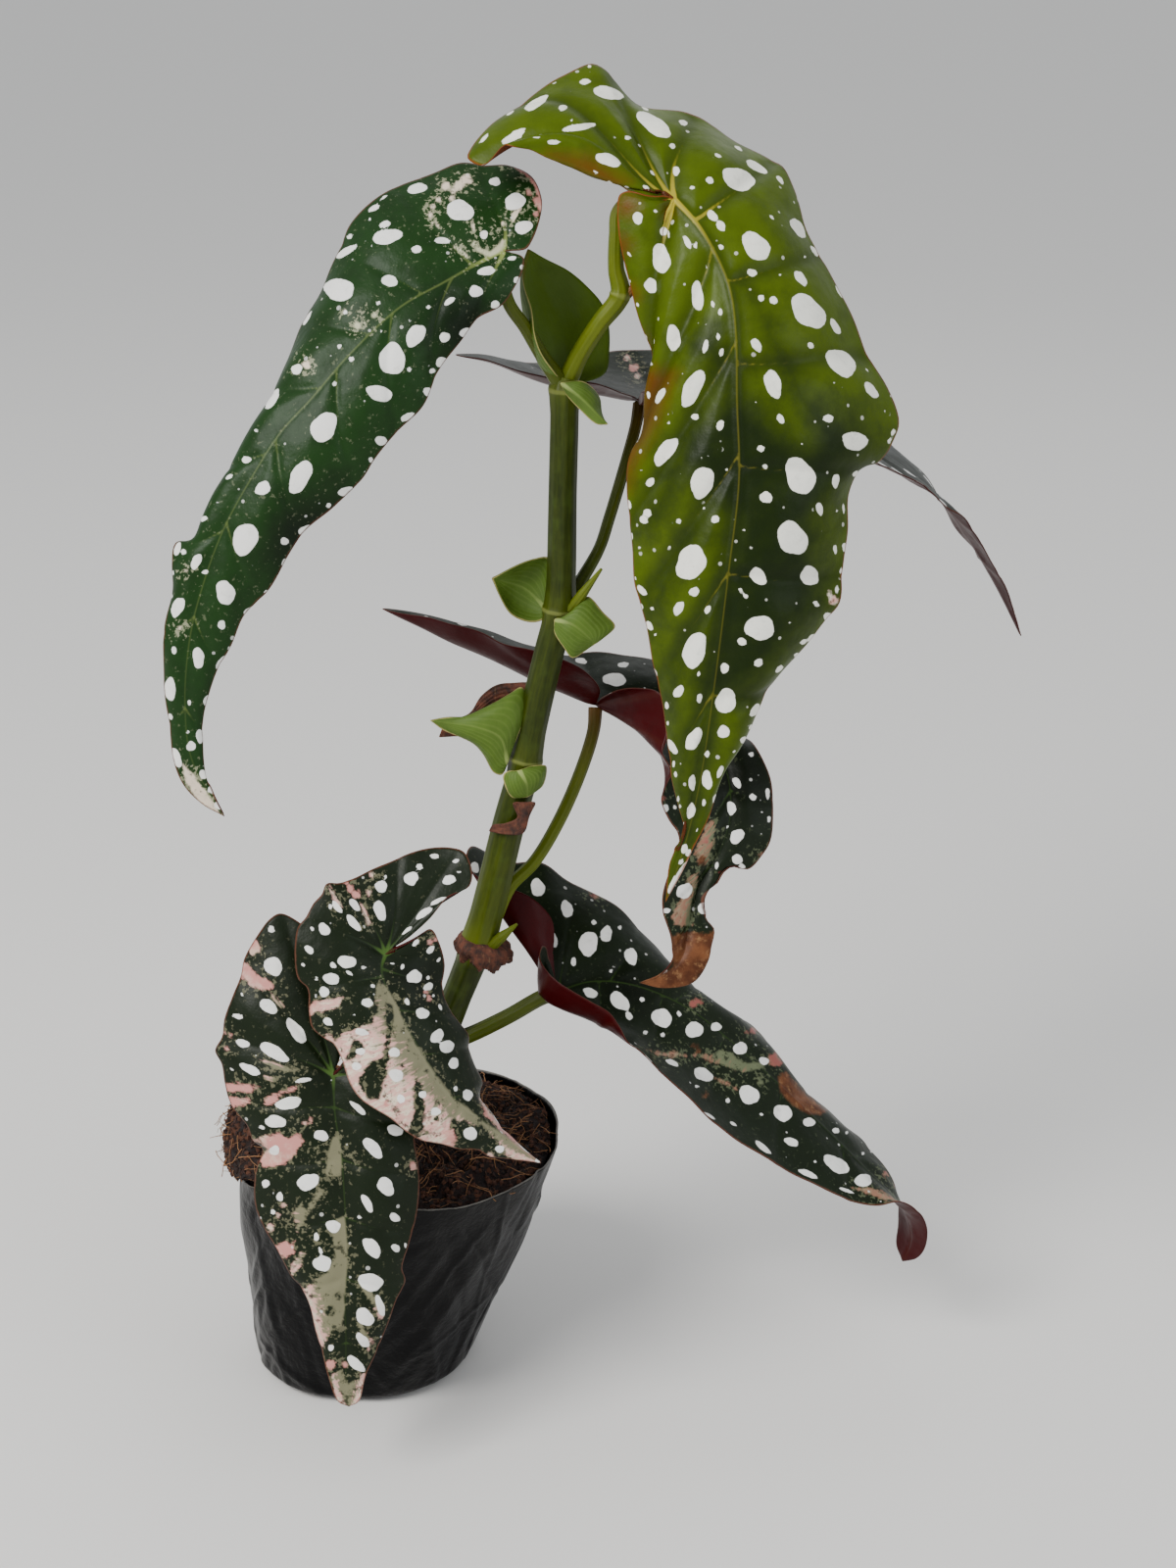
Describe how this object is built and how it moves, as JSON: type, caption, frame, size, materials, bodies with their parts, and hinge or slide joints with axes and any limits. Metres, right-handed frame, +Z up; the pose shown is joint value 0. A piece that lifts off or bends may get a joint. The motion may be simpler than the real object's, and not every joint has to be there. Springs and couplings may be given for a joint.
{
  "type": "potted polka dot begonia",
  "caption": "Young cane begonia with drooping wing-shaped leaves spotted in white, standing in coir in a soft black plastic grow bag.",
  "frame": {"origin": "middle of the grow bag's flat underside, on the surface it stands on", "axes": "+Z up along the cane, +X to the right and +Y away for someone who faces the plant"},
  "size_m": [0.2243, 0.141, 0.3548],
  "materials": {
    "bag_film": "satin",
    "coir": "matte",
    "cane": "satin",
    "leaf_young": "satin",
    "leaf_mature": "satin",
    "stipule": "satin",
    "husk": "matte"
  },
  "bodies": {
    "root": {"grow_bag": "bag_film", "soil": "coir", "cane": "cane", "leaf_crown": "leaf_young", "leaf_left": "leaf_mature", "leaf_back": "leaf_mature", "leaf_middle": "leaf_mature", "leaf_right": "leaf_mature", "leaf_front": "leaf_mature", "leaf_low": "leaf_mature", "bud_sheath": "stipule", "stipule_top": "stipule", "stipule_mid_left": "stipule", "stipule_mid_right": "stipule", "stipule_beak": "stipule", "stipule_ruffle": "stipule", "husk_beak": "husk", "husk_ruffle": "husk", "husk_frill": "husk"}
  },
  "joints": []
}
